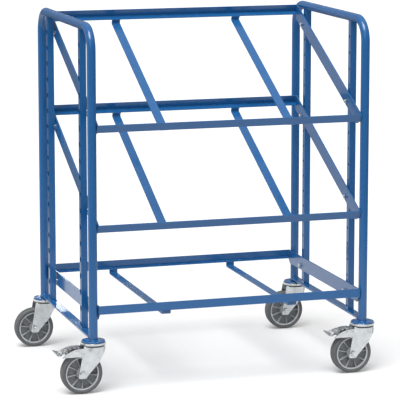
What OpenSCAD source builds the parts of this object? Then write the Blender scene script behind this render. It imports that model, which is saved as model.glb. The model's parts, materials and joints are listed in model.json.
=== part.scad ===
// Trolley for stacking containers: two tube bows, uprights with holes, three bolted shelf frames, casters.
// The origin is on the floor, in the middle of the four legs. X runs across, Y to the rear, Z up.

/* [Side frames] */
// Distance between the leg centres across the trolley
frame_w = 862; // [760:2:1000]
// Distance of the leg centres in from the ends of a level shelf frame
frame_d = 13.5; // [13.5:0.5:20]
// Height of the top of the handle bows above the floor
overall_h = 1108; // [1100:1:1150]
// Outer diameter of the bow tube
tube_d = 26.9; // [25:0.1:28]
// Wall of the bow tube
tube_wall = 2; // [1.5:0.1:3]
// Centre line radius of the bow's two bends
bend_r = 67; // [50:1:90]
// Width of the tie rail between two legs
tie_w = 28; // [20:1:32]
// Thickness of the tie rail
tie_t = 6; // [4:0.5:8]
// Height of the tie rail's top above the foot of its legs
tie_top = 11; // [10:1:20]

/* [Uprights] */
// Distance between the front and the rear upright of a side
upright_gap = 408; // [390:1:420]
// Outside width of the upright's square tube
upright_w = 20; // [18:0.5:24]
// Wall of the square tube
upright_t = 2; // [1.5:0.1:2.5]
// Distance from hole to hole
hole_pitch = 50; // [50:0.1:50.5]
// Height of the lowest hole above the tie rail's top
hole_low = 13; // [12:1:16]
// Number of holes in an upright
hole_count = 18; // [18:1:18]
// Diameter of a bolt hole, in the face towards the shelves
hole_d = 9; // [8.5:0.1:10]
// Diameter of the access hole opposite, which lets a bolt head in
access_d = 18; // [16:0.5:18.5]

/* [Shelf frames] */
// Length of a shelf frame along its slope
shelf_l = 654; // [640:1:660]
// How far a tilted shelf frame is pushed down its slope
tilt_shift = 22; // [10:1:30]
// Holes between the front and the rear bolt of a tilted shelf
tilt_count = 4; // [4:1:4]
// Number of the hole for the bolts of the bottom shelf
bottom_count = 1; // [1:1:1]
// Number of the hole for the front bolts of the middle shelf
middle_count = 7; // [7:1:7]
// Number of the hole for the front bolts of the top shelf
top_count = 13; // [13:1:13]
// Height of a rail's lip
lip_h = 26; // [22:0.5:28]
// Width of a rail's flange
flange_w = 22; // [18:0.5:26]
// Thickness of the rail's angle
angle_t = 3; // [2.5:0.1:4]
// Height of a side bar
bar_h = 44; // [42:0.5:50]
// Thickness of a side bar
bar_t = 4; // [3:0.1:4.5]
// Distance of a bolt below the top edge of its side bar
bolt_drop = 30; // [26:0.5:31]
// Width of a strap
strap_w = 27; // [20:0.5:32]
// Thickness of a strap
strap_t = 4; // [3:0.1:5]
// Distance from the middle of the shelf to a strap's centre line
strap_x = 201; // [150:1:260]
// Drop of a strap's top face below the rail flanges
strap_drop = 12; // [8:0.5:16]
// Inside radius of a strap's bent ends
strap_bend = 3; // [2:0.5:3.5]

/* [Shelf fasteners] */
// Thread diameter of a shelf bolt
bolt_d = 8; // [7:0.5:8]
// Width across the flats of its head and nut
bolt_af = 13; // [12:0.5:13]
// Height of its head
bolt_head_h = 5.3; // [4:0.1:6]
// Height of its nut
bolt_nut_h = 6.5; // [5:0.1:7]
// Bolt end that shows past the nut
bolt_end = 1.5; // [0.5:0.1:3]
// Thickness of the spacing washer between side bar and upright
washer_t = 4; // [3.8:0.1:4.5]
// Outer diameter of the spacing washer
washer_d = 17; // [15:0.5:18]

/* [Casters] */
// Height of a caster, from the floor to the plate on its leg
caster_h = 155; // [155:0.5:158]
// Diameter of the round plate under a leg
plate_d = 70; // [60:1:74]
// Thickness of that plate
plate_t = 5; // [4:0.5:6]
// Wheel diameter over the tyre
wheel_d = 125; // [120:0.5:126]
// Width of the tyre
tyre_w = 34; // [28:0.5:34]
// Rounding of the tyre's shoulders
tyre_round = 5; // [3:0.5:7]
// Outer diameter of the rim inside the tyre
rim_d = 102; // [96:0.5:104]
// Width of the rim
rim_w = 30; // [24:0.5:30]
// Wall of the rim's ring
rim_ring = 4; // [3:0.5:6]
// Thickness of the disc between ring and hub
rim_disc = 6; // [4:0.5:10]
// Number of ribs on each side of the rim
rib_count = 9; // [6:1:12]
// Thickness of a rib
rib_t = 2.6; // [2:0.1:4]
// Outer diameter of the wheel's hub
hub_d = 36; // [28:0.5:38]
// Distance from swivel axis to wheel axis
trail = 38; // [36:0.5:40]
// Inside width of the fork
fork_gap = 41; // [40.5:0.1:44]
// Sheet thickness of the fork
fork_t = 2.5; // [2:0.1:3]
// Diameter of the fork's crown
crown_d = 72; // [68:0.5:72]
// Height of the fork's front wall below the crown, where it meets the arms
wall_drop = 17.5; // [12:0.5:24]
// Distance of the arms' throat below the crown
throat_drop = 49; // [44:0.5:54]
// Distance of that throat in front of the swivel axis
throat_x = 11; // [8:0.5:14]
// Width of a fork arm at the axle
arm_w = 26; // [24:0.5:28]
// Diameter of the upper race
race_d = 75; // [72:0.5:76]
// Gap between the race's turned-down edge and the fork's crown
race_gap = 1.6; // [0.5:0.1:2]
// Number of balls in a swivel
ball_count = 12; // [8:1:14]
// Diameter of a ball
ball_d = 6; // [5:0.1:6]
// Diameter of the circle that the balls run on
ball_circle = 46; // [42:0.5:50]
// Outer diameter of the hollow king pin
king_d = 19; // [17:0.5:20]
// Thread diameter of the bolt through the king pin
stem_d = 12; // [10:0.5:12]
// Thread diameter of the wheel axle
axle_d = 10; // [8:0.5:10]
// Outer diameter of the axle bush
bush_d = 16; // [14:0.5:18]

/* [Brakes] */
// Radius of the curved top edge of the fork's side hoods
hood_r = 74; // [72:0.5:76]
// Distance of the hoods' lower edge below the crown
hood_low = 28; // [26.5:0.5:29.5]
// Width of the brake pedal
pedal_w = 36; // [30:0.5:37]
// Sheet thickness of the pedal
pedal_t = 3; // [2:0.1:3.5]
// Diameter of the pedal's pivot pin
pedal_pin_d = 6; // [5:0.1:7]
// Distance of that pin below the crown
pivot_drop = 13.5; // [13:0.5:15]
// Distance of that pin behind the wheel axle
pivot_back = 18; // [17:0.5:19]
// Distance from the pin to the pedal's tip
pedal_reach = 66.5; // [60:0.5:70]
// Angle that the pedal travels from released to pressed
press_angle = 12; // [8:1:12]

/* [Clearances] */
// Radial running clearance of the turning fits
run_gap = 0.05; // [0.02:0.01:0.1]
// Gap between parts that move past each other
move_gap = 0.3; // [0.3:0.05:0.5]
// Gap left at a coped or threaded joint of one body
seat_gap = 0.05; // [0.02:0.01:0.1]

/* [Hidden] */

blue = [0.16, 0.37, 0.62];
zinc = [0.80, 0.83, 0.83];
grey = [0.46, 0.48, 0.50];
dark = [0.29, 0.30, 0.31];
$fn = 64;
little = 0.01;

leg_x = frame_w / 2;
leg_y = shelf_l / 2 - frame_d;
tube_r = tube_d / 2;
tube_bore = tube_r - tube_wall;
bow_z = overall_h - tube_r;
leg_foot = caster_h + plate_t;
tie_z = leg_foot + tie_top;

upright_y = upright_gap / 2;
upright_face = leg_x - upright_w / 2;
bar_out = upright_face - washer_t;
bar_in = bar_out - bar_t;
tilt = atan(tilt_count * hole_pitch / upright_gap);
nut_x = bar_in - bolt_nut_h - bolt_end;

wheel_r = wheel_d / 2;
fork_half = fork_gap / 2;
arm_out = fork_half + fork_t;
race_t = 4;
race_skirt = 2;
ball_z = caster_h - race_t - ball_d / 2 + 1;
crown_top = ball_z - ball_d / 2 + 1;
crown_t = 3.5;
crown_low = crown_top - crown_t;
race_low = crown_top + race_gap;
flare_t = 3.5;
flare_top = crown_low - move_gap;
king_low = flare_top - flare_t;
stem_head_h = 7.5;
stem_af = 18;
boss_h = 12;
axle_af = 16;
axle_head_h = 6.4;
axle_nut_h = 8;
axle_end = 2;

front_wall_x = crown_d / 2 - 8;
wall_low = crown_low - wall_drop;
throat_z = crown_low - throat_drop;
wall_lean = (wall_low - throat_z) / (front_wall_x - throat_x);
hood_x = -trail - 6.5;
hood_z = crown_low - 3 - hood_r;
hood_edge = crown_low - hood_low;
pivot_x = -trail - pivot_back;
pivot_z = crown_low - pivot_drop;

function hole_z(i) = tie_z + hole_low + i * hole_pitch;

module all_legs() {
    for (sx = [-1, 1], sy = [-1, 1]) translate([sx * leg_x, sy * leg_y, 0]) children();
}

module ring(ro, ri, h) {
    difference() {
        cylinder(r = ro, h = h);
        translate([0, 0, -little]) cylinder(r = ri, h = h + 2 * little);
    }
}

module across(r, x0, x1) {
    translate([x0, 0, 0]) rotate([0, 90, 0]) cylinder(r = r, h = x1 - x0);
}

module along(r, y0, y1) {
    translate([0, y1, 0]) rotate([90, 0, 0]) cylinder(r = r, h = y1 - y0);
}

// One bow: two legs and a handle bar in one round tube
module bow(r) {
    for (sy = [-1, 1]) {
        translate([0, sy * leg_y, leg_foot]) cylinder(r = r, h = bow_z - bend_r - leg_foot);
        translate([0, sy * (leg_y - bend_r), bow_z - bend_r])
            rotate([90, 0, 90 * sy]) rotate_extrude(angle = 90) translate([bend_r, 0]) circle(r = r);
    }
    translate([0, 0, bow_z]) along(r, -(leg_y - bend_r), leg_y - bend_r);
}

module side_tube(side) {
    color(blue) translate([side * leg_x, 0, 0]) difference() {
        bow(tube_r);
        bow(tube_bore);
        for (sy = [-1, 1]) translate([0, sy * leg_y, leg_foot - 1]) cylinder(r = tube_bore, h = 2);
    }
}

// Square tube with bolt holes towards the shelves and wider access holes on the outside
module upright(side, end) {
    bore = upright_w - 2 * upright_t;
    face = upright_w / 2;
    color(blue) translate([side * leg_x, end * upright_y, 0]) difference() {
        translate([-face, -face, tie_z]) cube([upright_w, upright_w, bow_z - tie_z]);
        translate([-bore / 2, -bore / 2, tie_z - 1]) cube([bore, bore, bow_z]);
        mirror([side > 0 ? 1 : 0, 0, 0]) for (i = [0 : hole_count - 1]) translate([0, 0, hole_z(i)]) {
            across(hole_d / 2, bore / 2 - 1, face + 1);
            across(access_d / 2, -face - 1, 1 - bore / 2);
        }
        translate([0, -end * upright_y, bow_z]) along(tube_r + seat_gap, -leg_y, leg_y);
    }
}

// Flat bar between the two legs of a side, coped to the tubes
module tie_rail(side) {
    reach = leg_y - tube_r / 2;
    color(blue) translate([side * leg_x, 0, 0]) difference() {
        translate([-tie_w / 2, -reach, tie_z - tie_t]) cube([tie_w, 2 * reach, tie_t]);
        for (sy = [-1, 1]) translate([0, sy * leg_y, 0]) cylinder(r = tube_r + seat_gap, h = overall_h);
    }
}

// Round plates under the legs, each with a threaded boss inside its tube
module caster_plates() {
    color(blue) all_legs() translate([0, 0, caster_h]) difference() {
        union() {
            cylinder(r = plate_d / 2, h = plate_t);
            cylinder(r = tube_bore - 0.5, h = plate_t + boss_h);
        }
        translate([0, 0, -1]) cylinder(r = stem_d / 2 + seat_gap, h = plate_t + boss_h + 2);
    }
}

// Places a shelf frame: local Y runs up the slope, local Z stands on it, zero at the bar's top edge
module shelf(hole, angle) {
    mid_z = hole_z(hole) + upright_y * tan(angle);
    translate([0, 0, mid_z]) rotate([angle, 0, 0]) translate([0, 0, bolt_drop]) children();
}

module top_shelf() { shelf(top_count, tilt) children(); }
module middle_shelf() { shelf(middle_count, tilt) children(); }
module bottom_shelf() { shelf(bottom_count, 0) children(); }

// Angle with its lip up and its flange pointing into the shelf
module rail(end, shift) {
    y = end * shelf_l / 2 - shift;
    color(blue) translate([-bar_in, y, 0]) mirror([0, end > 0 ? 1 : 0, 0]) {
        translate([0, 0, -lip_h]) cube([2 * bar_in, angle_t, lip_h]);
        translate([0, 0, -lip_h]) cube([2 * bar_in, flange_w, angle_t]);
    }
}

// Flat bar on edge with two bolt holes, its lower corners cut off below the rails' lips
module side_bar(side, shift, angle) {
    x = side > 0 ? bar_in : -bar_out;
    half = shelf_l / 2;
    flat = half - bar_h + lip_h;
    color(blue) difference() {
        translate([x, -shift, 0]) rotate([90, 0, 90]) linear_extrude(bar_t)
            polygon([[-half, 0], [-half, -lip_h], [-flat, -bar_h],
                [flat, -bar_h], [half, -lip_h], [half, 0]]);
        for (end = [-1, 1]) translate([0, end * upright_y / cos(angle), -bolt_drop])
            across(bolt_d / 2 + 0.5, x - 1, x + bar_t + 1);
    }
}

// Flat strap with both ends bent up to the inner edges of the rail flanges
module strap(side, shift) {
    half = shelf_l / 2 - flange_w + strap_t;
    low = -lip_h - strap_drop - strap_t;
    bend = strap_bend + strap_t;
    color(blue) translate([side * strap_x - strap_w / 2, -shift, 0]) {
        translate([0, -half + bend, low]) cube([strap_w, 2 * (half - bend), strap_t]);
        for (m = [0, 1]) mirror([0, m, 0]) {
            translate([0, -half, low + bend]) cube([strap_w, strap_t, strap_drop + strap_t - bend]);
            translate([0, -half + bend, low + bend]) intersection() {
                difference() {
                    across(bend, 0, strap_w);
                    across(strap_bend, -1, strap_w + 1);
                }
                translate([0, -bend, -bend]) cube([strap_w, bend, bend]);
            }
        }
    }
}

// Repeats its children at the twelve bolts, with X along the bolt and away from the shelf
module at_bolts() {
    for (s = [[top_count, tilt_count], [middle_count, tilt_count], [bottom_count, 0]], m = [0, 1])
        mirror([m, 0, 0]) {
            translate([0, -upright_y, hole_z(s[0])]) children();
            translate([0, upright_y, hole_z(s[0] + s[1])]) children();
        }
}

module hexagon(af, x0, x1) {
    translate([x0, 0, 0]) rotate([0, 90, 0]) cylinder(r = af / 2 / cos(30), h = x1 - x0, $fn = 6);
}

module shelf_bolts() {
    head_x = upright_face + upright_t;
    color(zinc) at_bolts() {
        across(bolt_d / 2, nut_x, head_x + little);
        hexagon(bolt_af, head_x, head_x + bolt_head_h);
    }
}

module shelf_washers() {
    color(zinc) at_bolts() difference() {
        across(washer_d / 2, bar_out, upright_face);
        across(bolt_d / 2 + seat_gap, bar_out - 1, upright_face + 1);
    }
}

module shelf_nuts() {
    color(zinc) at_bolts() difference() {
        hexagon(bolt_af, bar_in - bolt_nut_h, bar_in);
        across(bolt_d / 2 + seat_gap, bar_in - bolt_nut_h - 1, bar_in + 1);
    }
}

// Places a caster: zero on the floor under the swivel axis
module front_left() { translate([-leg_x, -leg_y, 0]) children(); }
module front_right() { translate([leg_x, -leg_y, 0]) children(); }
module rear_left() { translate([-leg_x, leg_y, 0]) children(); }
module rear_right() { translate([leg_x, leg_y, 0]) children(); }

module ball_track(r) {
    translate([0, 0, ball_z]) rotate_extrude() translate([ball_circle / 2, 0]) circle(r = r, $fn = 32);
}

// Upper race with its turned-down edge and the hollow king pin riveted into it
module race() {
    color(zinc) difference() {
        union() {
            translate([0, 0, caster_h - race_t]) cylinder(r = race_d / 2, h = race_t);
            translate([0, 0, race_low]) ring(race_d / 2, race_d / 2 - race_skirt, caster_h - race_low - 1);
            translate([0, 0, king_low]) cylinder(r = king_d / 2, h = caster_h - king_low);
            translate([0, 0, king_low]) cylinder(r = king_d / 2 + 5, h = flare_t);
        }
        translate([0, 0, king_low - 1]) cylinder(r = stem_d / 2 + seat_gap, h = caster_h);
        ball_track(ball_d / 2 + seat_gap);
    }
}

module swivel_balls() {
    color(zinc) all_legs() for (i = [0 : ball_count - 1]) rotate([0, 0, i * 360 / ball_count])
        translate([ball_circle / 2, 0, ball_z]) sphere(r = ball_d / 2, $fn = 24);
}

// Bolt that draws the caster up against the leg plate
module caster_bolts() {
    top = caster_h + plate_t + boss_h;
    color(zinc) all_legs() {
        translate([0, 0, king_low - little]) cylinder(r = stem_d / 2, h = top - king_low + little);
        translate([0, 0, king_low - stem_head_h])
            cylinder(r = stem_af / 2 / cos(30), h = stem_head_h, $fn = 6);
    }
}

// Pressed fork: round crown, front wall, two arms and, on a braked caster, two side hoods
module arm_outline(braked) {
    foot = 6;
    rear = -trail - arm_w / 2;
    front = rear + arm_w;
    low = wheel_r - arm_w / 2 - 1;
    for (x = [rear + foot, front - foot]) translate([x, low + foot]) circle(r = foot);
    polygon([[rear + foot, low], [front - foot, low], [front - foot / 5, low + foot * 0.7],
        [throat_x, throat_z], [front_wall_x, wall_low], [front_wall_x, crown_top],
        [rear + 17, crown_top], [rear, low + foot]]);
    if (braked) hood_outline();
}

module hood_outline() {
    corner = 7;
    edge = -trail - 4;
    difference() {
        intersection() {
            translate([hood_x, hood_z]) circle(r = hood_r);
            translate([hood_x - hood_r, hood_edge]) square([hood_r + 20, crown_top - hood_edge]);
        }
        translate([edge, hood_edge - 1]) square([hood_r, 1]);
    }
    difference() {
        translate([edge - corner, hood_edge - corner]) square(corner + little);
        translate([edge - corner, hood_edge - corner]) circle(r = corner);
    }
}

module fork_arm(side, braked) {
    y = side > 0 ? fork_half : -arm_out;
    translate([0, y + fork_t, 0]) rotate([90, 0, 0]) linear_extrude(fork_t) arm_outline(braked);
}

// Rolled edge along the top of a hood
module hood_bead(side) {
    bead = 1.6;
    y = side > 0 ? arm_out : -arm_out - bead;
    translate([0, y + bead, 0]) rotate([90, 0, 0]) linear_extrude(bead) intersection() {
        translate([hood_x, hood_z]) difference() {
            circle(r = hood_r);
            circle(r = hood_r - 2.2);
        }
        translate([hood_x - hood_r, hood_edge]) square([hood_r + 2, crown_low - hood_edge]);
    }
}

// Curved front wall under the crown, whose lower edge carries on the slope of the arms
module front_wall() {
    near = front_wall_x - 2;
    far = crown_d / 2 + 1;
    intersection() {
        translate([0, 0, throat_z]) ring(crown_d / 2, crown_d / 2 - fork_t, crown_top - throat_z);
        translate([0, crown_d / 2, 0]) rotate([90, 0, 0]) linear_extrude(crown_d)
            polygon([[near, crown_top], [near, wall_low - 2 * wall_lean],
                [far, wall_low + (far - front_wall_x) * wall_lean], [far, crown_top]]);
    }
}

module fork(braked) {
    crown_r = crown_d / 2;
    color(zinc) difference() {
        union() {
            translate([0, 0, crown_low]) cylinder(r = crown_r, h = crown_t);
            front_wall();
            for (side = [-1, 1]) intersection() {
                fork_arm(side, braked);
                translate([-crown_d * 2, -crown_r, 0]) cube([crown_d * 2 + front_wall_x, crown_d, caster_h]);
            }
            if (braked) for (side = [-1, 1]) hood_bead(side);
        }
        translate([0, 0, crown_low - 1]) cylinder(r = king_d / 2 + run_gap, h = crown_t + 2);
        ball_track(ball_d / 2 + move_gap);
        translate([-trail, 0, wheel_r]) along(axle_d / 2 + seat_gap, -caster_h, caster_h);
        if (braked) translate([pivot_x, 0, pivot_z]) along(pedal_pin_d / 2 + seat_gap, -caster_h, caster_h);
    }
}

module axle() {
    far = arm_out + axle_head_h;
    near = -arm_out - axle_nut_h;
    color(zinc) translate([-trail, 0, wheel_r]) {
        along(axle_d / 2, near - axle_end, arm_out + little);
        translate([0, far, 0]) rotate([90, 0, 0])
            cylinder(r = axle_af / 2 / cos(30), h = axle_head_h, $fn = 6);
        translate([0, near + axle_nut_h, 0]) rotate([90, 0, 0]) difference() {
            cylinder(r = axle_af / 2 / cos(30), h = axle_nut_h, $fn = 6);
            translate([0, 0, -1]) cylinder(r = axle_d / 2 + seat_gap, h = axle_nut_h + 2);
        }
    }
}

module axle_bush() {
    color(zinc) translate([-trail, 0, wheel_r]) difference() {
        along(bush_d / 2, -fork_half, fork_half);
        along(axle_d / 2 + seat_gap, -fork_half - 1, fork_half + 1);
    }
}

// Moulded rim: ring, disc, hub and ribs; phase turns the ribs about the axle
module rim(phase) {
    hub_half = fork_half - 1;
    color(grey) translate([-trail, 0, wheel_r]) difference() {
        union() {
            along(hub_d / 2, -hub_half, hub_half);
            along(rim_d / 2 - little, -rim_disc / 2, rim_disc / 2);
            difference() {
                along(rim_d / 2, -rim_w / 2, rim_w / 2);
                along(rim_d / 2 - rim_ring, -rim_w, rim_w);
            }
            for (i = [0 : rib_count - 1]) rotate([0, -phase - i * 360 / rib_count, 0])
                translate([hub_d / 2 - 1, -rim_w / 2 + 2, -rib_t / 2])
                    cube([rim_d / 2 - rim_ring - hub_d / 2 + 2, rim_w - 4, rib_t]);
        }
        along(bush_d / 2 + run_gap, -fork_gap, fork_gap);
    }
}

module tyre() {
    half = tyre_w / 2;
    color(dark) translate([-trail, 0, wheel_r]) rotate([90, 0, 0]) rotate_extrude($fn = 96) {
        translate([rim_d / 2, -half]) square([wheel_r - tyre_round - rim_d / 2, tyre_w]);
        translate([rim_d / 2, -half + tyre_round]) square([wheel_r - rim_d / 2, tyre_w - 2 * tyre_round]);
        for (m = [-1, 1]) translate([wheel_r - tyre_round, m * (half - tyre_round)])
            circle(r = tyre_round, $fn = 32);
    }
}

// Side view of the pedal: a strip over the wheel that ends in a turned-up foot pad
module pedal_outline() {
    inner = pivot_x + pivot_back - 7;
    top = pivot_x - 8;
    slope = pivot_x - 28;
    tip = pivot_x - pedal_reach;
    knee = tip + 24.5;
    polygon([[inner, pivot_z + 13 - pedal_t], [inner, pivot_z + 13], [top, pivot_z + 12.5],
        [slope, pivot_z + 8], [knee, pivot_z + 2], [tip + 10.5, pivot_z],
        [tip + 1.5, pivot_z + 4.5], [tip, pivot_z + 2],
        [tip + 9.5, pivot_z - 9], [tip + 19.5, pivot_z - 9], [knee, pivot_z + 2 - pedal_t],
        [slope, pivot_z + 8 - pedal_t], [top, pivot_z + 12.5 - pedal_t]]);
}

module pedal_slice(y0, y1) {
    translate([0, y1, 0]) rotate([90, 0, 0]) linear_extrude(y1 - y0) children();
}

module pedal() {
    half = pedal_w / 2;
    rib_h = 1.4;
    color(grey) difference() {
        union() {
            pedal_slice(-half, half) pedal_outline();
            for (y = [-half, half - pedal_t]) pedal_slice(y, y + pedal_t) {
                translate([pivot_x, pivot_z]) circle(r = pedal_pin_d / 2 + 3);
                translate([pivot_x - 6, pivot_z]) square([12, 11]);
            }
            pedal_slice(-half + pedal_t, half - pedal_t)
                translate([pivot_x - 26, pivot_z - 14]) square([12, 21]);
            for (i = [0 : 4]) translate([pivot_x - 32 - i * 4.6, 0, pivot_z + 6.4 - i * 1.6])
                rotate([0, -22, 0]) translate([-1, -half, -1.6]) cube([2, pedal_w, 1.6 + rib_h]);
        }
        translate([pivot_x, 0, pivot_z]) along(pedal_pin_d / 2 + run_gap, -pedal_w, pedal_w);
        translate([pivot_x, 0, pivot_z]) rotate([0, press_angle, 0]) translate([-pivot_x, 0, -pivot_z])
            translate([-trail, 0, wheel_r]) along(wheel_r + 0.4, -pedal_w, pedal_w);
    }
}

module pedal_pin() {
    head_t = 1.5;
    color(zinc) translate([pivot_x, 0, pivot_z]) {
        along(pedal_pin_d / 2, -arm_out - head_t, arm_out + head_t);
        for (m = [0, 1]) mirror([0, m, 0]) along(pedal_pin_d / 2 + 1.5, arm_out, arm_out + head_t);
    }
}

side_tube(-1);  // left_side_tube
side_tube(1);  // right_side_tube
upright(-1, -1);  // front_left_upright
upright(1, -1);  // front_right_upright
upright(-1, 1);  // rear_left_upright
upright(1, 1);  // rear_right_upright
tie_rail(-1);  // left_tie_rail
tie_rail(1);  // right_tie_rail
caster_plates();
top_shelf() rail(-1, tilt_shift);  // top_front_rail
top_shelf() rail(1, tilt_shift);  // top_rear_rail
top_shelf() side_bar(-1, tilt_shift, tilt);  // top_left_bar
top_shelf() side_bar(1, tilt_shift, tilt);  // top_right_bar
top_shelf() strap(-1, tilt_shift);  // top_left_strap
top_shelf() strap(1, tilt_shift);  // top_right_strap
middle_shelf() rail(-1, tilt_shift);  // middle_front_rail
middle_shelf() rail(1, tilt_shift);  // middle_rear_rail
middle_shelf() side_bar(-1, tilt_shift, tilt);  // middle_left_bar
middle_shelf() side_bar(1, tilt_shift, tilt);  // middle_right_bar
middle_shelf() strap(-1, tilt_shift);  // middle_left_strap
middle_shelf() strap(1, tilt_shift);  // middle_right_strap
bottom_shelf() rail(-1, 0);  // bottom_front_rail
bottom_shelf() rail(1, 0);  // bottom_rear_rail
bottom_shelf() side_bar(-1, 0, 0);  // bottom_left_bar
bottom_shelf() side_bar(1, 0, 0);  // bottom_right_bar
bottom_shelf() strap(-1, 0);  // bottom_left_strap
bottom_shelf() strap(1, 0);  // bottom_right_strap
shelf_bolts();
shelf_washers();
shelf_nuts();
front_left() race();  // fl_race
front_right() race();  // fr_race
rear_left() race();  // rl_race
rear_right() race();  // rr_race
swivel_balls();
caster_bolts();
front_left() fork(true);  // fl_fork
front_right() fork(true);  // fr_fork
rear_left() fork(false);  // rl_fork
rear_right() fork(false);  // rr_fork
front_left() axle();  // fl_axle
front_right() axle();  // fr_axle
rear_left() axle();  // rl_axle
rear_right() axle();  // rr_axle
front_left() axle_bush();  // fl_axle_bush
front_right() axle_bush();  // fr_axle_bush
rear_left() axle_bush();  // rl_axle_bush
rear_right() axle_bush();  // rr_axle_bush
front_left() rim(270);  // fl_rim
front_right() rim(287);  // fr_rim
rear_left() rim(250);  // rl_rim
rear_right() rim(280);  // rr_rim
front_left() tyre();  // fl_tyre
front_right() tyre();  // fr_tyre
rear_left() tyre();  // rl_tyre
rear_right() tyre();  // rr_tyre
front_left() pedal();  // fl_pedal
front_right() pedal();  // fr_pedal
front_left() pedal_pin();  // fl_pedal_pin
front_right() pedal_pin();  // fr_pedal_pin
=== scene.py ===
import json
import math

import bmesh
import bpy
from mathutils import Matrix, Vector


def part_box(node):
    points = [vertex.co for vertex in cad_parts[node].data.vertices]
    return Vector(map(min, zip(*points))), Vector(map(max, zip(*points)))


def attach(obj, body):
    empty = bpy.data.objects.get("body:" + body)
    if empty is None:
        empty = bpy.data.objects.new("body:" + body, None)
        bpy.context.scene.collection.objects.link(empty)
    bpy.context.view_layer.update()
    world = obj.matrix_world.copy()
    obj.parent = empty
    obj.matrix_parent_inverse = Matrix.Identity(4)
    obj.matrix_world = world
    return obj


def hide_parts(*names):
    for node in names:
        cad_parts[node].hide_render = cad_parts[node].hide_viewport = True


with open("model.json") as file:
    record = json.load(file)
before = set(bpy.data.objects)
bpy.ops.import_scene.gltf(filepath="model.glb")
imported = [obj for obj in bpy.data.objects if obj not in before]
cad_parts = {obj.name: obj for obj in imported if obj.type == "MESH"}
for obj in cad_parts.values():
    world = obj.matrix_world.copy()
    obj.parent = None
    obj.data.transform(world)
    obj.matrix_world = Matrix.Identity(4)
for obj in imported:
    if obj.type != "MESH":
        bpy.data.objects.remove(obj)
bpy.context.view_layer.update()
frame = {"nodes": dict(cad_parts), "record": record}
nodes = frame["nodes"]
record = frame["record"]
mm = 0.001
fullTurn = 2 * math.pi

bodyOf = {node: body for body, held in record["behaviour"]["bodies"].items() for node in held}
slotOf = {entry["node"]: entry["material_slot"] for entry in record["subparts"]}


# Shader wiring: a wire is one output socket, and sums on wires add Math nodes
class Wire:
    def __init__(self, tree, socket):
        self.tree = tree
        self.socket = socket

    def math(self, operation, first, second):
        return self.tree.add("Math", {"operation": operation}, {0: first, 1: second})

    def __add__(self, other): return self.math("ADD", self, other)
    def __radd__(self, other): return self.math("ADD", other, self)
    def __sub__(self, other): return self.math("SUBTRACT", self, other)
    def __rsub__(self, other): return self.math("SUBTRACT", other, self)
    def __mul__(self, other): return self.math("MULTIPLY", self, other)
    def __rmul__(self, other): return self.math("MULTIPLY", other, self)

    # A noise of 0 to 1 as a swing of half the amount up and down
    def swing(self, amount):
        return (self - 0.5) * amount


class Tree:
    def __init__(self, owner):
        owner.use_nodes = True
        self.nodes = owner.node_tree.nodes
        self.links = owner.node_tree.links
        self.nodes.clear()

    # Adds any node: its settings first, then values or wires for its sockets
    def add(self, kind, settings=None, sockets=None, out=0):
        made = self.nodes.new("ShaderNode" + kind)
        for name, value in (settings or {}).items():
            setattr(made, name, value)
        for name, value in (sockets or {}).items():
            if isinstance(value, Wire):
                self.links.new(value.socket, made.inputs[name])
            elif isinstance(value, tuple) and len(value) == 3 and made.inputs[name].type == "RGBA":
                made.inputs[name].default_value = (*value, 1)
            else:
                made.inputs[name].default_value = value
        return Wire(self, made.outputs[out]) if made.outputs else made

    def noise(self, place, scale, detail=2.0, roughness=0.5):
        return self.add("TexNoise", None, {
            "Vector": place, "Scale": scale, "Detail": detail, "Roughness": roughness})

    def blend(self, amount, first, second):
        return self.add("Mix", {"data_type": "RGBA"}, {"Factor": amount, "A": first, "B": second}, out=2)

    def ramp(self, amount, low, high):
        return self.add("MapRange", {"interpolation_type": "SMOOTHSTEP"},
                        {"Value": amount, "From Min": low, "From Max": high})

    def bump(self, height, strength, distance, under=None):
        sockets = {"Strength": strength, "Distance": distance, "Height": height}
        if under:
            sockets["Normal"] = under
        return self.add("Bump", None, sockets)

    # The closing nodes of every finish: a Principled shader and the material's output
    def surface(self, colour, rough, normal, **others):
        sockets = {"Base Color": colour, "Roughness": rough, "Normal": normal}
        shader = self.add("BsdfPrincipled", None, {**sockets, **others})
        self.add("OutputMaterial", None, {"Surface": shader})


def fromScreen(*levels):                         # a colour picked on screen, as linear light
    shares = (level / 255 for level in levels)
    return tuple(c / 12.92 if c <= 0.04045 else ((c + 0.055) / 1.055) ** 2.4 for c in shares)


def newMaterial(name):
    made = bpy.data.materials.new(name)
    return made, Tree(made)


# Blue powder coat: deep blue, a slight orange peel, paler where dust lies
bluePaint = dict(colour=fromScreen(28, 91, 147), deep=fromScreen(23, 81, 134), toneScale=6.0,
                 dust=fromScreen(96, 128, 164), dustScale=24.0, dustFrom=0.35, dustTo=0.75,
                 slopeFrom=0.5, dustShare=0.05, dustMatt=1.5, roughness=0.22, smearScale=34.0, smear=0.1,
                 peelScale=480, peelStrength=0.35, peelHeight=0.005 * mm, coat=0.3, coatRoughness=0.06)


def makeBluePaint():
    look = bluePaint
    made, t = newMaterial("bluePaint")
    place = t.add("TexCoord", out="Object")
    tone = t.noise(place, look["toneScale"], detail=3.0)
    facingUp = t.add("SeparateXYZ", None, {0: t.add("NewGeometry", out="Normal")}, out="Z")
    patches = t.noise(place, look["dustScale"], detail=4.0, roughness=0.6)
    patches = t.ramp(patches, look["dustFrom"], look["dustTo"])
    dusty = t.ramp(facingUp, look["slopeFrom"], 1.0) * patches * look["dustShare"]
    colour = t.blend(dusty, t.blend(tone, look["deep"], look["colour"]), look["dust"])
    smears = t.noise(place, look["smearScale"], detail=3.0).swing(look["smear"])
    rough = look["roughness"] + smears + dusty * look["dustMatt"]
    peel = t.bump(t.noise(place, look["peelScale"], detail=1.5), look["peelStrength"], look["peelHeight"])
    t.surface(colour, rough, peel, **{"Coat Weight": look["coat"], "Coat Roughness": look["coatRoughness"]})
    return made


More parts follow.
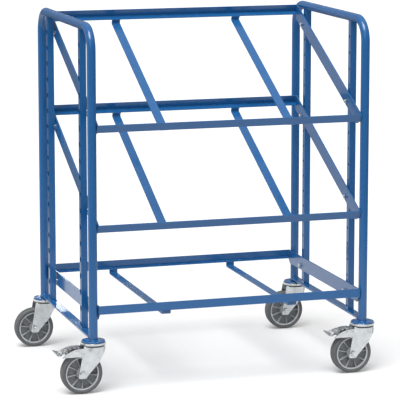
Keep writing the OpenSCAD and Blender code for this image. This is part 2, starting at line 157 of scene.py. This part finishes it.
# Bright zinc plate: cloudy and finely grained, on sheet with soft upright waves from the press
zincPlate = dict(colour=fromScreen(238, 241, 241), cool=fromScreen(182, 189, 194), cloudScale=44,
                 metallic=0.92, roughness=0.2, cloudMatt=0.16,
                 waveScale=52, waveStretch=(1, 1, 0.5), waveStrength=0.6, waveHeight=5.5 * mm,
                 grainScale=900, grainStrength=0.25, grainHeight=0.1 * mm)


def makeZincPlate():
    look = zincPlate
    made, t = newMaterial("zincPlate")
    place = t.add("TexCoord", out="Object")
    cloud = t.noise(place, look["cloudScale"], detail=4.0, roughness=0.6)
    colour = t.blend(cloud, look["colour"], look["cool"])
    upright = t.add("VectorMath", {"operation": "MULTIPLY"}, {0: place, 1: look["waveStretch"]})
    waves = t.bump(t.noise(upright, look["waveScale"], detail=1.5), look["waveStrength"], look["waveHeight"])
    grain = t.bump(t.noise(place, look["grainScale"]), look["grainStrength"], look["grainHeight"], waves)
    rough = look["roughness"] + cloud.swing(look["cloudMatt"])
    t.surface(colour, rough, grain, Metallic=look["metallic"])
    return made


# A painted dark shade, mottled, for the shadowed groove under a swivel's race
swivelGrease = dict(colour=fromScreen(44, 45, 46), dry=fromScreen(86, 86, 84), crustScale=300.0,
                    crustStrength=0.4, crustHeight=0.2 * mm, roughness=0.45, crustMatt=0.3)


def makePaintedGrooveShade():
    look = swivelGrease
    made, t = newMaterial("swivelGrease")
    place = t.add("TexCoord", out="Object")
    mottle = t.noise(place, look["crustScale"], detail=4.0, roughness=0.6)
    colour = t.blend(mottle, look["colour"], look["dry"])
    rough = look["roughness"] + mottle.swing(look["crustMatt"])
    t.surface(colour, rough, t.bump(mottle, look["crustStrength"], look["crustHeight"]))
    return made


# Bolts get the same plate, with thread lines round their shanks, which lie along X
boltThread = dict(pitch=1.25 * mm, strength=0.5, height=0.3 * mm, finer=4, roughness=0.3, cloudMatt=0.1)


def makeBoltPlate():
    look, thread = zincPlate, boltThread
    made, t = newMaterial("boltPlate")
    place = t.add("TexCoord", out="Object")
    cloud = t.noise(place, look["cloudScale"] * thread["finer"], detail=3.0, roughness=0.6)
    colour = t.blend(cloud, look["colour"], look["cool"])
    along = t.add("SeparateXYZ", None, {0: place}, out="X")
    wave = t.add("Math", {"operation": "SINE"}, {0: along * (fullTurn / thread["pitch"])})
    lines = t.bump(wave * 0.5 + 0.5, thread["strength"], thread["height"])     # a sine of 0 to 1
    rough = thread["roughness"] + cloud * thread["cloudMatt"]
    t.surface(colour, rough, lines, Metallic=look["metallic"])
    return made


# Matt grey rubber with patches of dust
tyreRubber = dict(colour=fromScreen(76, 79, 81), dust=fromScreen(104, 106, 107), dustScale=60.0,
                  dustShare=0.6, dustRelief=0.5, grainScale=1500.0, strength=0.3, height=0.2 * mm,
                  roughness=0.6, dustMatt=0.2)


def makeTyreRubber():
    look = tyreRubber
    made, t = newMaterial("tyreRubber")
    place = t.add("TexCoord", out="Object")
    dust = t.noise(place, look["dustScale"], detail=4.0, roughness=0.6)
    colour = t.blend(dust * look["dustShare"], look["colour"], look["dust"])
    relief = t.noise(place, look["grainScale"]) + dust * look["dustRelief"]
    grain = t.bump(relief, look["strength"], look["height"])
    t.surface(colour, look["roughness"] + dust.swing(look["dustMatt"]), grain)
    return made


# Moulded grey rim, paler by the attribute "raised": 1 on the outer ring and about half on the ribs' edges
rimPlastic = dict(colour=fromScreen(118, 122, 125), pale=fromScreen(190, 194, 197), raisedShare=0.85,
                  flowScale=40.0, flowShare=0.12, flowMatt=0.15, roughness=0.42,
                  grainScale=1100.0, strength=0.25, height=0.2 * mm)


def makeRimPlastic():
    look = rimPlastic
    made, t = newMaterial("rimPlastic")
    place = t.add("TexCoord", out="Object")
    raised = t.add("Attribute", {"attribute_name": "raised"}, out="Fac")
    flow = t.noise(place, look["flowScale"], detail=3.0)
    paler = raised * look["raisedShare"] + flow * look["flowShare"]
    colour = t.blend(paler, look["colour"], look["pale"])
    grain = t.bump(t.noise(place, look["grainScale"]), look["strength"], look["height"])
    t.surface(colour, look["roughness"] + flow.swing(look["flowMatt"]), grain)
    return made


# Dull zinc on the foot pedal: painted dark grey for the shade it lies in, with paler worn patches, and a
# painted highlight on the crests, which "ridge" marks
pedalSteel = dict(colour=fromScreen(62, 64, 66), worn=fromScreen(196, 199, 200),
                  rubbed=fromScreen(240, 242, 242), patchScale=210, wornFrom=0.38, wornTo=0.6,
                  metallic=0.7, roughness=0.34, wornMatt=0.25,
                  grainScale=1300.0, strength=0.3, height=0.2 * mm)


def makePedalSteel():
    look = pedalSteel
    made, t = newMaterial("pedalSteel")
    place = t.add("TexCoord", out="Object")
    ridge = t.add("Attribute", {"attribute_name": "ridge"}, out="Fac")
    wear = t.ramp(t.noise(place, look["patchScale"]), look["wornFrom"], look["wornTo"])
    # The crests take a painted highlight over the dark grey, which is painted shade
    colour = t.blend(ridge, t.blend(wear, look["colour"], look["worn"]), look["rubbed"])
    grain = t.bump(t.noise(place, look["grainScale"]), look["strength"], look["height"])
    rough = look["roughness"] + wear.swing(look["wornMatt"])
    t.surface(colour, rough, grain, Metallic=look["metallic"])
    return made


finishes = {
    "blue_paint": makeBluePaint(),
    "zinc_plate": makeZincPlate(),
    "wheel_tyre": makeTyreRubber(),
    "wheel_rim": makeRimPlastic(),
    "brake_pedal": makePedalSteel(),
}
boltPlate = makeBoltPlate()
# The painted dark shade for the groove under each fork's race
grooveShade = makePaintedGrooveShade()
for name, obj in nodes.items():
    obj.data.materials.clear()
    obj.data.materials.append(boltPlate if name == "shelf_bolts" else finishes[slotOf[name]])
print("materials on", len(nodes), "nodes")


def newObject(name, data):
    obj = bpy.data.objects.new(name, data)
    bpy.context.scene.collection.objects.link(obj)
    return obj


# Turns a finished bmesh into a piece that rides on a body and takes a slot's finish
def addPiece(name, bm, body, slot, covers=(), flatShading=True):
    mesh = bpy.data.meshes.new(name)
    for face in bm.faces:
        face.smooth = True
    bm.to_mesh(mesh)
    bm.free()
    mesh.materials.append(finishes[slot])
    obj = newObject(name, mesh)
    if flatShading:                              # large faces shade flat, and only their rounded edges turn
        weighted = obj.modifiers.new("flatShading", "WEIGHTED_NORMAL")
        weighted.weight = 100
        weighted.keep_sharp = True
    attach(obj, body)
    if covers:
        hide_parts(*covers)
    return obj


mergeDistance = 0.005 * mm
flatAngle = math.radians(0.3)


# A copy of a CAD node with its loose triangles merged and its flat faces whole again
def mergedCopy(node):
    bm = bmesh.new()
    bm.from_mesh(nodes[node].data)
    bmesh.ops.remove_doubles(bm, verts=bm.verts, dist=mergeDistance)
    bmesh.ops.dissolve_limit(bm, angle_limit=flatAngle, verts=bm.verts, edges=bm.edges)
    return bm


def crispEdges(bm, degrees=30):
    return [e for e in bm.edges if len(e.link_faces) == 2 and e.calc_face_angle(0) > math.radians(degrees)]


def roundEdges(bm, edges, width, segments=2):
    bmesh.ops.bevel(bm, geom=edges, offset=width, offset_type="OFFSET", segments=segments,
                    profile=0.5,                 # a quarter circle
                    material=-1, affect="EDGES", clamp_overlap=True)


def pieceName(node):
    first, *rest = node.split("_")
    return first + "".join(word.capitalize() for word in rest)


# The piece that stands for one node, on the node's own body and with its slot's finish
def addInPlaceOf(node, bm, flatShading=True):
    return addPiece(pieceName(node), bm, bodyOf[node], slotOf[node], (node,), flatShading)


def boxCentre(node):
    low, high = (Vector(v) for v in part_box(node))
    return (low + high) / 2


# Sheet and bar steel: every cut edge is rolled over a little by the blasting and the paint, by the first
# key that ends the node's name
edgeWidth = dict(tie_rail=0.8, rail=0.7, bar=0.6, strap=0.7, upright=0.6, plates=0.8, race=0.8,
                 nuts=0.7, washers=0.5, axle=0.6)

for node in nodes:
    widths = [width for kind, width in edgeWidth.items() if node.endswith("_" + kind)]
    if widths:
        bm = mergedCopy(node)
        roundEdges(bm, crispEdges(bm), widths[0] * mm)
        addInPlaceOf(node, bm)
print("edges rounded on the bars, rails, straps, uprights and fittings")


# Forks: the crown's top edge is pressed round, and the faces near its top rim take a painted dark shade for
# the shadowed groove under the race
forkEdges = dict(crownRadius=36.0, crownTop=147.0, nearRim=0.3, nearTop=0.05,
                 crownSharp=40, crownRound=2.6, crownSteps=4, sheetSharp=50, sheetRound=0.6,
                 greaseFrom=144.5, greaseOut=30.0)


def addFork(corner):
    look = forkEdges
    node = corner + "_fork"
    swivel = boxCentre(corner + "_race").xy
    bm = mergedCopy(node)

    def reachOf(point):
        return (point.xy - swivel).length / mm

    def onRim(edge):
        return all(abs(v.co.z / mm - look["crownTop"]) < look["nearTop"]
                   and abs(reachOf(v.co) - look["crownRadius"]) < look["nearRim"] for v in edge.verts)
    rim = [e for e in crispEdges(bm, look["crownSharp"]) if onRim(e)]
    roundEdges(bm, rim, look["crownRound"] * mm, look["crownSteps"])
    roundEdges(bm, crispEdges(bm, look["sheetSharp"]), look["sheetRound"] * mm)
    for face in bm.faces:
        middle = face.calc_center_median()
        inGroove = middle.z / mm > look["greaseFrom"] and reachOf(middle) > look["greaseOut"]
        face.material_index = int(inGroove)      # 0 is the zinc plate, 1 the painted groove shade
    addInPlaceOf(node, bm).data.materials.append(grooveShade)


corners = ("fl", "fr", "rl", "rr")
for corner in corners:
    addFork(corner)
print("forks made")


# Pedals: the ribs' crests stand above the line of the strip from its slope to its knee, and "ridge" marks
# them for a painted highlight
pedalMarks = dict(slopeBack=28.0, slopeUp=8.0, fall=6 / 14, crest=0.9, ribsTo=24.0, round=0.6)


def addPedal(corner):
    look = pedalMarks
    node = corner + "_pedal"
    pivot = boxCentre(corner + "_pedal_pin")
    bm = mergedCopy(node)
    roundEdges(bm, crispEdges(bm), look["round"] * mm)
    ridge = bm.verts.layers.float.new("ridge")
    for vert in bm.verts:
        away = (vert.co - pivot) / mm
        back = -away.x - look["slopeBack"]
        line = look["slopeUp"] - back * look["fall"]
        vert[ridge] = float(0 < back < look["ribsTo"] and away.z > line + look["crest"])
    addInPlaceOf(node, bm)


for corner in ("fl", "fr"):
    addPedal(corner)
print("pedals made")


# Tyre section from the rim joint out: a bead ridge, a straight wall, a round shoulder and a crowned tread
tyreSection = dict(radius=62.5, halfWidth=17.0, joint=51.0, lip=1.4, ridge=2.2, inset=1.2,
                   shoulder=5.0, shoulderSteps=8, crown=0.2, treadAt=(9.0, 6.0, 3.0, 0.0), turns=128)


def addTyre(corner):
    look = tyreSection
    node = corner + "_tyre"
    centre = boxCentre(node)
    outer, half, turn = look["radius"], look["halfWidth"], look["shoulder"]
    joint, inset, flat = look["joint"], half - look["inset"], half - turn
    rightHalf = [(joint, inset), (joint + look["lip"], inset), (joint + look["ridge"], half)]
    for step in range(look["shoulderSteps"] + 1):
        share = step / look["shoulderSteps"]
        angle = share * math.pi / 2
        rightHalf.append((outer - turn + turn * math.sin(angle) - look["crown"] * share,
                          flat + turn * math.cos(angle)))
    rightHalf += [(outer - look["crown"] * (y / flat) ** 2, y) for y in look["treadAt"]]
    section = rightHalf + [(r, -y) for r, y in reversed(rightHalf[:-1])]
    bm = bmesh.new()
    verts = [bm.verts.new(centre + Vector((0, y * mm, r * mm))) for r, y in section]
    edges = [bm.edges.new((a, b)) for a, b in zip(verts, verts[1:] + verts[:1])]
    bmesh.ops.spin(bm, geom=verts + edges, cent=centre, axis=(0, 1, 0), angle=fullTurn,
                   steps=look["turns"], use_merge=True)
    bmesh.ops.remove_doubles(bm, verts=bm.verts, dist=mergeDistance)
    bmesh.ops.recalc_face_normals(bm, faces=bm.faces)
    addInPlaceOf(node, bm, flatShading=False)


# Rim: the CAD form with moulded edges, and an attribute that marks its ring and the ribs' outer edges
rimMarks = dict(round=0.6, ringFrom=48.9, ringSide=13.5, ribSide=12.4, hubTo=18.5,
                ringPale=1.0, ribPale=0.55)


def addRim(corner):
    look = rimMarks
    node = corner + "_rim"
    centre = boxCentre(corner + "_tyre")
    bm = mergedCopy(node)
    roundEdges(bm, crispEdges(bm), look["round"] * mm)
    raised = bm.verts.layers.float.new("raised")
    for vert in bm.verts:
        away = (vert.co - centre) / mm
        out, side = math.hypot(away.x, away.z), abs(away.y)
        onRing = out > look["ringFrom"] and side > look["ringSide"]
        onRib = out > look["hubTo"] and side > look["ribSide"]
        vert[raised] = look["ringPale"] if onRing else look["ribPale"] if onRib else 0.0
    addInPlaceOf(node, bm)


for corner in corners:
    addTyre(corner)
    addRim(corner)
print("wheels made")


# Weld beads: small rippled fillets where the painted pieces meet
weld = dict(radius=1.6, sides=8, ripple=0.22, step=2.4, arcSteps=8, fewestSteps=12,
            footUp=0.3, footOut=0.2, tieUp=0.2, tieOut=0.3, tieSweep=2.6, barFrom=1.0)
frameSizes = dict(legX=431, legY=313.5, tubeRadius=13.45, legFoot=160, tieTop=171,
                  uprightY=204, uprightHalf=10, tubeFlank=1085.4, barInside=413, shelfHalf=327,
                  boltDrop=30, lip=26, angle=3, strapX=201, strapHalf=13.5, flange=22)
shelfTilt = math.atan2(200, 408)                 # four holes up over the distance of the uprights
shelves = dict(top=dict(height=934, tilt=shelfTilt, shift=22),
               middle=dict(height=634, tilt=shelfTilt, shift=22),
               bottom=dict(height=234, tilt=0, shift=0))


# The ring of edges that a bead starts from, square to the way it runs
def beadStart(bm, place, along):
    turn = along.to_track_quat("Z", "Y").to_matrix().to_4x4()
    ring = bmesh.ops.create_circle(bm, cap_ends=False, segments=weld["sides"], radius=weld["radius"] * mm,
                                   matrix=Matrix.Translation(place) @ turn)["verts"]
    return ring, list(dict.fromkeys(e for v in ring for e in v.link_edges))


def straightBead(bm, start, end):
    start, end = Vector(start) * mm, Vector(end) * mm
    run = end - start
    steps = max(2, int(run.length / mm / weld["step"]))
    _, edges = beadStart(bm, start, run)
    bmesh.ops.contextual_create(bm, geom=edges)

    def swell(step):                             # plain at both ends, wider and narrower in turn between
        return 1 + weld["ripple"] * (-1) ** step if 0 < step < steps else 1
    for step in range(1, steps + 1):
        grown = bmesh.ops.extrude_edge_only(bm, edges=edges)["geom"]
        ring = [g for g in grown if isinstance(g, bmesh.types.BMVert)]
        edges = [g for g in grown if isinstance(g, bmesh.types.BMEdge)]
        bmesh.ops.translate(bm, verts=ring, vec=run / steps)
        middle = start + run * step / steps
        size = swell(step) / swell(step - 1)
        bmesh.ops.scale(bm, verts=ring, vec=(size,) * 3, space=Matrix.Translation(-middle))
    bmesh.ops.contextual_create(bm, geom=edges)


def ringBead(bm, centre, reach, fromAngle=0.0, sweep=fullTurn):
    centre = Vector(centre) * mm
    out = Vector((math.cos(fromAngle), math.sin(fromAngle), 0))
    ring, edges = beadStart(bm, centre + out * reach * mm, Vector((-out.y, out.x, 0)))
    steps = max(weld["fewestSteps"], int(sweep * weld["arcSteps"]))
    bmesh.ops.spin(bm, geom=ring + edges, cent=centre, axis=(0, 0, 1), angle=sweep, steps=steps,
                   use_merge=sweep == fullTurn)


# Round a leg's foot, over the end of its tie rail, and at the foot and the head of its upright
def addLegWelds(bm, side, end):
    s = frameSizes
    leg = (side * s["legX"], end * s["legY"])
    ringBead(bm, (*leg, s["legFoot"] + weld["footUp"]), s["tubeRadius"] + weld["footOut"])
    ringBead(bm, (*leg, s["tieTop"] + weld["tieUp"]), s["tubeRadius"] + weld["tieOut"],
             -end * math.pi / 2 - weld["tieSweep"] / 2, weld["tieSweep"])
    x, y, half = side * s["legX"], end * s["uprightY"], s["uprightHalf"]

    def bead(fromX, fromY, toX, toY, height):
        straightBead(bm, (x + fromX * half, y + fromY * half, height),
                     (x + toX * half, y + toY * half, height))
    for turn in (-1, 1):
        bead(-1, turn, 1, turn, s["tieTop"])
        bead(turn, -1, turn, 1, s["tieTop"])
        bead(turn, -1, turn, 1, s["tubeFlank"])


# Where side bars and straps meet the front and rear rails of a shelf
def addShelfWelds(bm, height, tilt, shift):
    s = frameSizes
    turn = Matrix.Rotation(tilt, 4, "X")
    place = Matrix.Translation((0, 0, height)) @ turn @ Matrix.Translation((0, 0, s["boltDrop"]))

    def bead(start, end):
        straightBead(bm, place @ Vector(start), place @ Vector(end))
    for end in (-1, 1):
        inner = end * (s["shelfHalf"] - s["angle"]) - shift
        tab = end * (s["shelfHalf"] - s["flange"]) - shift
        for side in (-1, 1):
            barX, strapX, half = side * s["barInside"], side * s["strapX"], s["strapHalf"]
            bead((barX, inner, s["angle"] - s["lip"] + weld["barFrom"]), (barX, inner, -weld["barFrom"]))
            bead((strapX - half, tab, -s["lip"]), (strapX + half, tab, -s["lip"]))


def addWelds():
    bm = bmesh.new()
    for side in (-1, 1):
        for end in (-1, 1):
            addLegWelds(bm, side, end)
    for shelf in shelves.values():
        addShelfWelds(bm, **shelf)
    bmesh.ops.recalc_face_normals(bm, faces=bm.faces)
    addPiece("frameWelds", bm, "frame", "blue_paint", flatShading=False)


addWelds()
print("welds made")


white = (1.0, 1.0, 1.0)

# Floor: pale, with a little glow for the camera alone, and mirrored by shiny faces only near the trolley:
# whole up to "whiteTo" metres from its middle, and gone from "goneFrom" on
stage = dict(floorSize=60.0, drop=0.5 * mm, floorTone=0.6, lift=0.13, whiteTo=1.0, goneFrom=3.2)


def makeFloor():
    mesh = bpy.data.meshes.new("floor")
    bm = bmesh.new()
    bmesh.ops.create_grid(bm, x_segments=1, y_segments=1, size=stage["floorSize"])
    bm.to_mesh(mesh)
    bm.free()
    obj = newObject("floor", mesh)
    obj.location = (0, 0, -stage["drop"])
    made, t = newMaterial("floorWhite")
    seen = t.add("LightPath", out="Is Camera Ray")
    mirrored = t.add("LightPath", out="Is Glossy Ray")
    reach = t.add("VectorMath", {"operation": "LENGTH"}, {0: t.add("TexCoord", out="Object")}, out="Value")
    away = t.ramp(reach, stage["whiteTo"], stage["goneFrom"])
    shade = t.add("BsdfDiffuse", None, {"Color": (stage["floorTone"],) * 3})
    glow = t.add("Emission", None, {"Color": white, "Strength": seen * stage["lift"]})
    both = t.add("AddShader", None, {0: shade, 1: glow})
    gone = t.add("BsdfTransparent")
    far = t.add("MixShader", None, {0: mirrored * away, 1: both, 2: gone})
    t.add("OutputMaterial", None, {"Surface": far})
    mesh.materials.append(made)


# Sky: the camera sees white, soft light comes from "front", "back" and "ceiling", and shiny faces mirror
# a darker studio with a bright left side, a low back wall and one small lamp
sky = dict(front=0.28, back=0.6, ceiling=0.9,
           shinyFront=0.14, shinyBack=0.16, shinyCeiling=0.5, shinyLeft=0.7,
           turnFrom=-0.45, turnTo=0.5, ceilingFrom=0.3, ceilingTo=0.7, leftFrom=0.28, leftTo=0.36,
           wallTone=0.3, wallFrom=0.08, wallTo=0.18)
lamp = dict(tone=14.0, soft=0.001, left=0.2225, right=0.2325, low=0.203, high=0.2205)


def makeWorld():
    world = bpy.data.worlds.new("studio")
    bpy.context.scene.world = world
    t = Tree(world)
    seen = t.add("LightPath", out="Is Camera Ray")
    mirrored = t.add("LightPath", out="Is Glossy Ray")
    aim = t.add("TexCoord", out="Generated")
    side, back, up = (t.add("SeparateXYZ", None, {0: aim}, out=axis) for axis in "XYZ")
    behind = t.ramp(back, sky["turnFrom"], sky["turnTo"])
    above = t.ramp(up, sky["ceilingFrom"], sky["ceilingTo"])
    aside = t.ramp(side * -1, sky["leftFrom"], sky["leftTo"])
    wall = t.ramp(up, sky["wallFrom"], sky["wallTo"])

    def tone(front, back, ceiling):
        level = front + behind * (back - front)
        return level * (1 - above) + above * ceiling
    soft = tone(sky["front"], sky["back"], sky["ceiling"])
    low = sky["shinyBack"] + aside * (sky["shinyLeft"] - sky["shinyBack"])
    shiny = tone(sky["shinyFront"], low * (1 - wall) + wall * sky["wallTone"], sky["shinyCeiling"])

    def band(place, start, end):
        return t.ramp(place, start - lamp["soft"], start) * (1 - t.ramp(place, end, end + lamp["soft"]))
    inLamp = band(side, lamp["left"], lamp["right"]) * band(up, lamp["low"], lamp["high"]) * behind
    shiny = shiny + inLamp * lamp["tone"]
    both = soft * (1 - mirrored) + shiny * mirrored
    light = t.add("Math", {"operation": "MAXIMUM"}, {0: both, 1: seen})
    glow = t.add("Background", None, {"Color": white, "Strength": light})
    t.add("OutputWorld", None, {"Surface": glow})


suns = dict(keySun=dict(aim=(0.3, 0.36, -0.95), strength=3.2, spread=38),
            fillSun=dict(aim=(0.4, 0.7, -0.35), strength=0.2, spread=30))


def addSun(name, aim, strength, spread):
    data = bpy.data.lights.new(name, "SUN")
    data.energy = strength
    data.angle = math.radians(spread)
    obj = newObject(name, data)
    obj.rotation_euler = Vector(aim).to_track_quat("-Z", "Y").to_euler()


makeFloor()
makeWorld()
for name, sun in suns.items():
    addSun(name, **sun)
print("floor, sky and lamps made")

# Camera: fitted to the trolley's edges in the photograph, with a lens shifted a little downwards
view = dict(place=(-2.0723, -6.6659, 1.7399), yaw=17.276, pitch=8.976, sensor=36.0, focal=202.13,
            shift=-0.1, farthest=200)
lens = bpy.data.cameras.new("camera")
lens.sensor_width = view["sensor"]
lens.lens = view["focal"]
lens.shift_y = view["shift"]
lens.clip_end = view["farthest"]
camera = newObject("camera", lens)
camera.location = view["place"]
camera.rotation_euler = (math.radians(90 - view["pitch"]), 0, math.radians(-view["yaw"]))
bpy.context.scene.camera = camera
bpy.context.scene.view_settings.view_transform = "Standard"
print("camera set")
